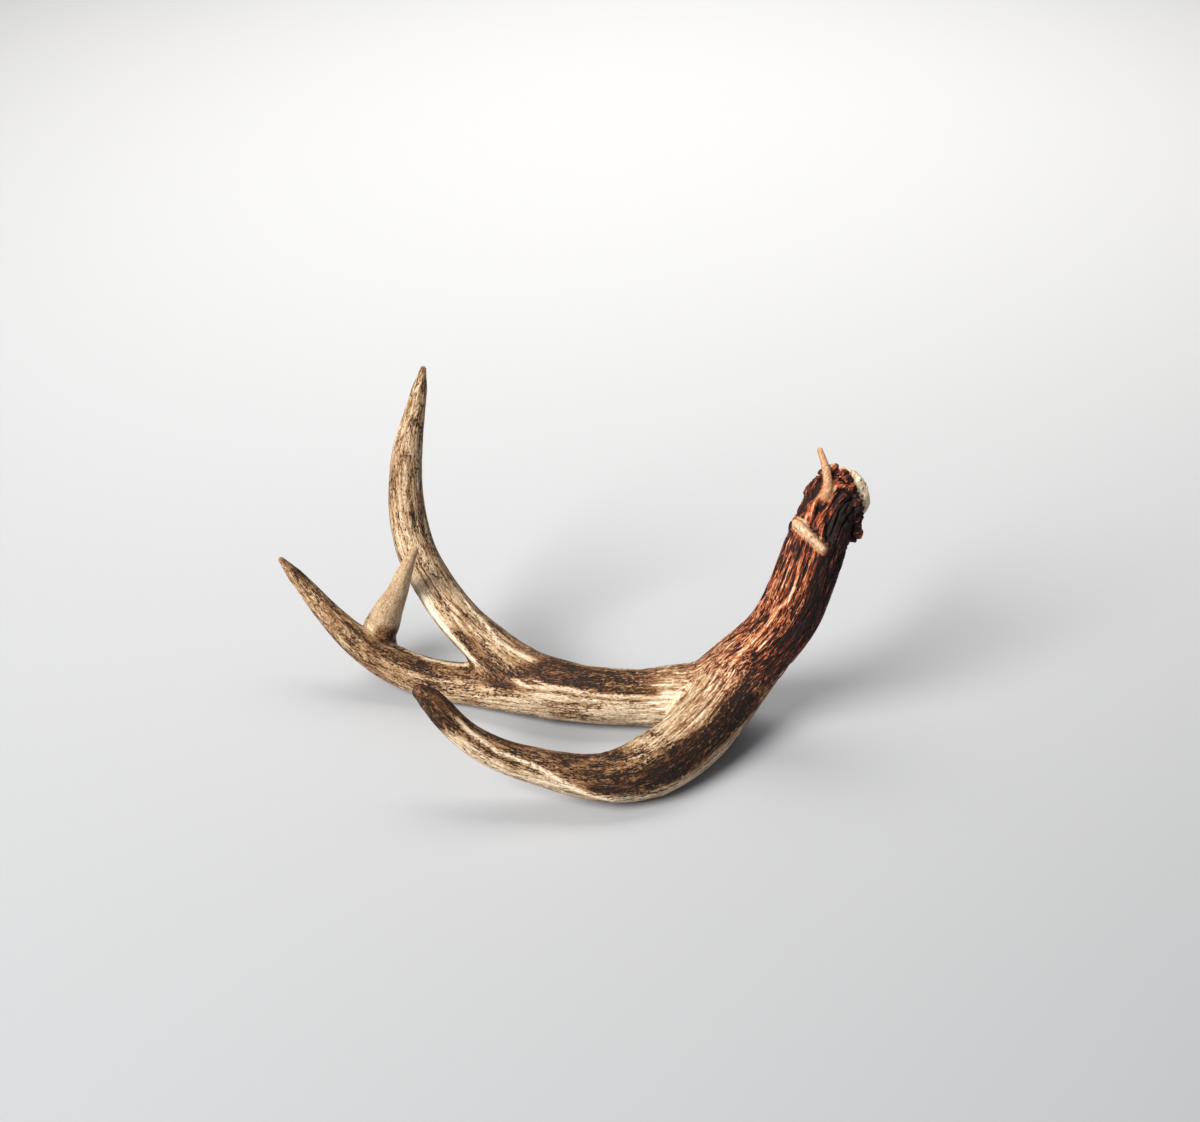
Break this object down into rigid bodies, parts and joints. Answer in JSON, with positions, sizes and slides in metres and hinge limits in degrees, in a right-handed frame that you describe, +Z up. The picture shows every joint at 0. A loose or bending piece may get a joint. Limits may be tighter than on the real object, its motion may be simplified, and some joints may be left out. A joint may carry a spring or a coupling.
{
  "type": "deer antler",
  "caption": "Shed deer antler with a knobbed burr, a curved beam and smooth pointed tines, lying as it rests on a flat surface.",
  "frame": {"origin": "the middle of the underside of the bounding box, on the surface that the antler rests on", "axes": "+X along the longest extent, from the tip of the beam to the burr; +Z up as it rests; -Y the side that the front tine points to"},
  "size_m": [0.3542, 0.1716, 0.205],
  "materials": {
    "base_bone": "rough pearled antler bone, dark red-brown gutters between pale worn ridges",
    "beam_bone": "weathered antler bone, tan and cream with brown streaks",
    "tine_bone": "smooth antler bone, cream and olive tan with fine brown lines and worn pale tips",
    "ivory_bone": "polished ivory-coloured antler bone, slightly glossy"
  },
  "bodies": {
    "root": {"beam_base": "base_bone", "front_tine": "tine_bone", "mid_beam": "beam_bone", "tall_tine": "tine_bone", "beam_end": "beam_bone", "short_tine": "ivory_bone"}
  },
  "joints": []
}
